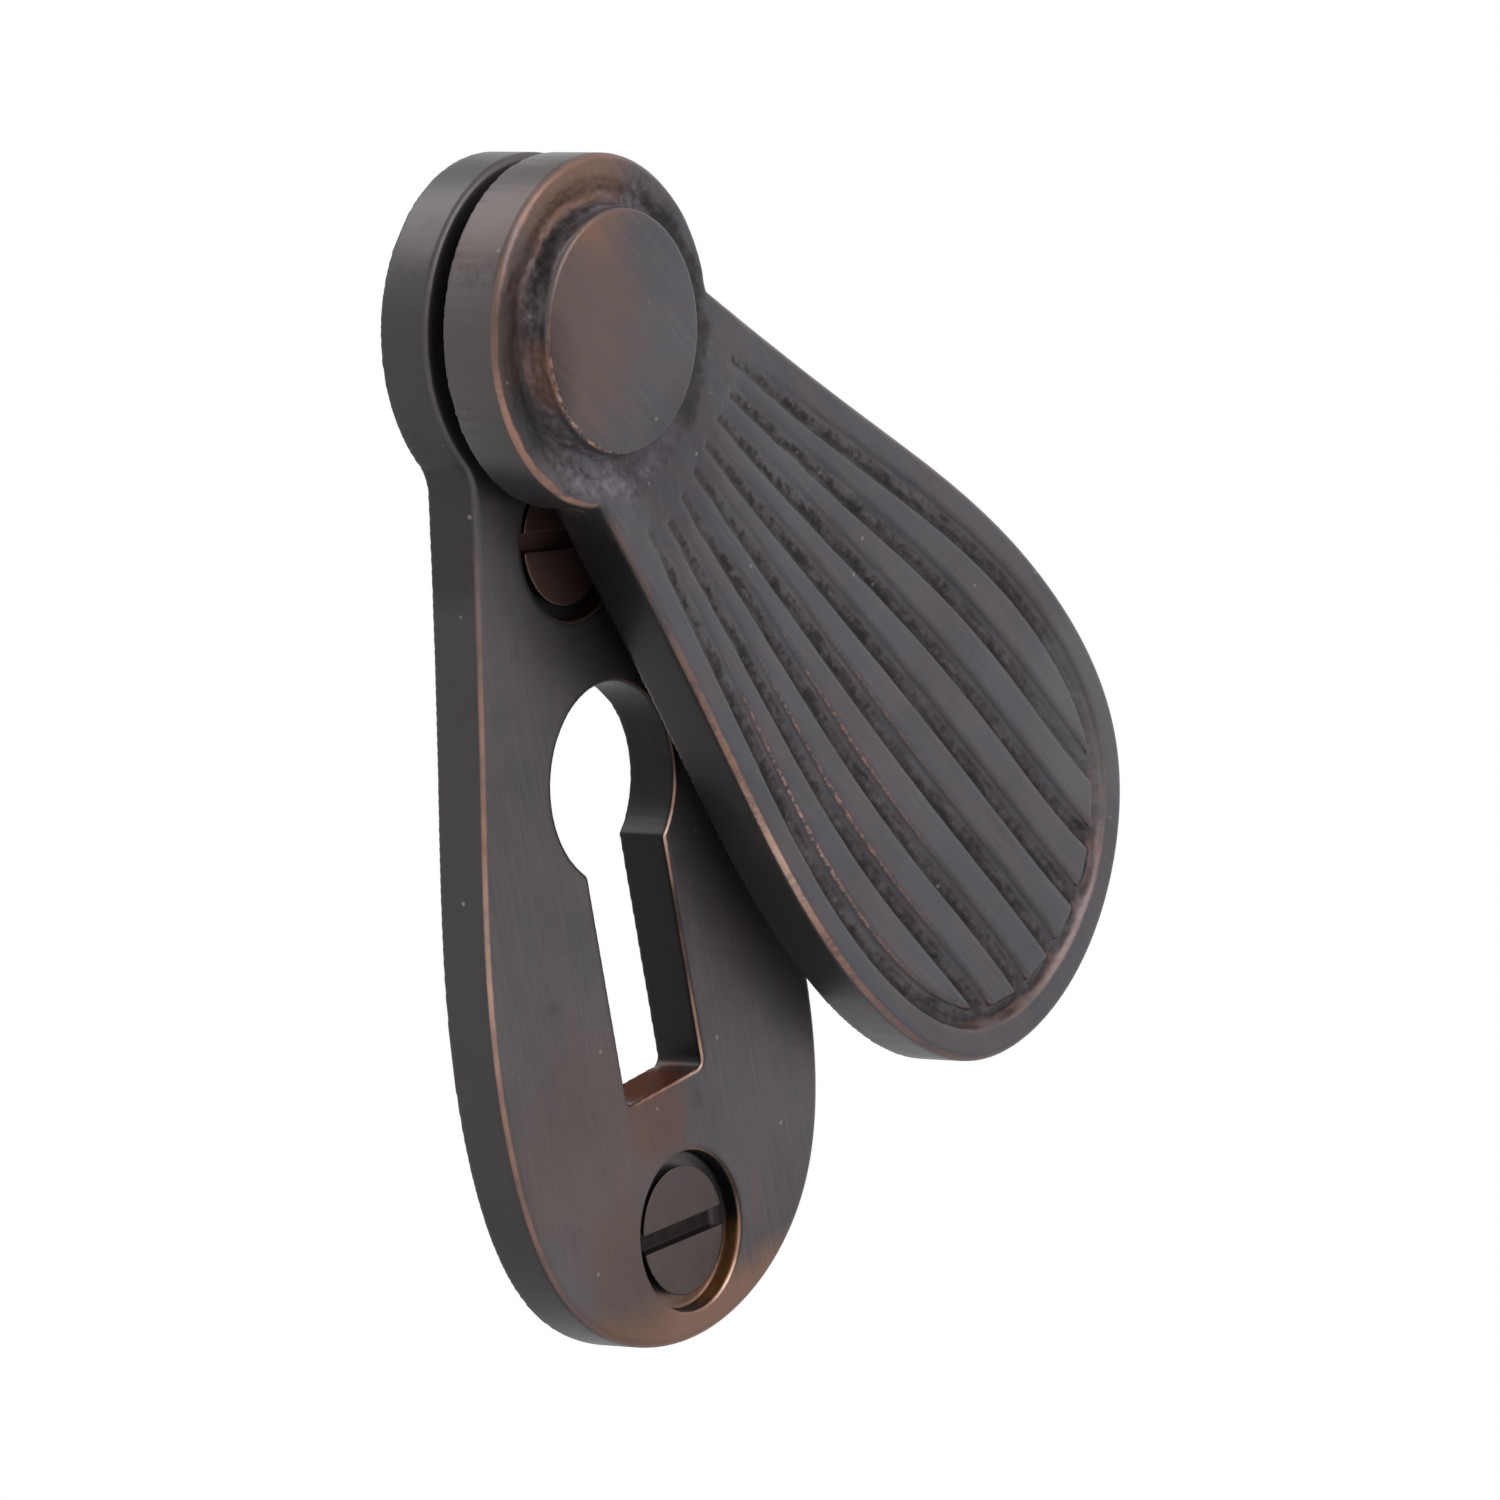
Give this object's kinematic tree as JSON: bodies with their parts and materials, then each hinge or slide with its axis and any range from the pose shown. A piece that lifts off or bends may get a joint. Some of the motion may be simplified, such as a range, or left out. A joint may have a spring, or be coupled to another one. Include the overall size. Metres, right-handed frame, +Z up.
{
  "type": "keyhole escutcheon",
  "caption": "Pear-shaped keyhole escutcheon in dark bronze with a reeded cover that swings aside on a pivot, held on by slotted countersunk screws.",
  "frame": {"origin": "on the mounting face, on the axis of the key: the middle of the keyhole's round part", "axes": "+Z up along the plate toward the pivot, +Y into the wood the plate is fixed to, -Y the front"},
  "size_m": [0.0439, 0.0115, 0.0549],
  "materials": {
    "plate_bronze": "oil-rubbed bronze, brushed satin, worn to copper at the edges",
    "cover_bronze": "oil-rubbed bronze, satin on the reeds and rough-cast in the grooves",
    "pin_bronze": "oil-rubbed bronze, satin",
    "washer_bronze": "blackened, satin",
    "screw_bronze": "oil-rubbed bronze, satin"
  },
  "bodies": {
    "plate": {"back_plate": "plate_bronze", "bearing_washer": "washer_bronze", "fixing_screws": "screw_bronze"},
    "cover": {"swing_cover": "cover_bronze", "pivot_pin": "pin_bronze"}
  },
  "joints": [
    {"name": "cover_swing", "type": "hinge", "parent": "plate", "child": "cover", "pos_m": [0, 0, 0.021], "axis": [0, 1, 0], "continuous": true}
  ]
}
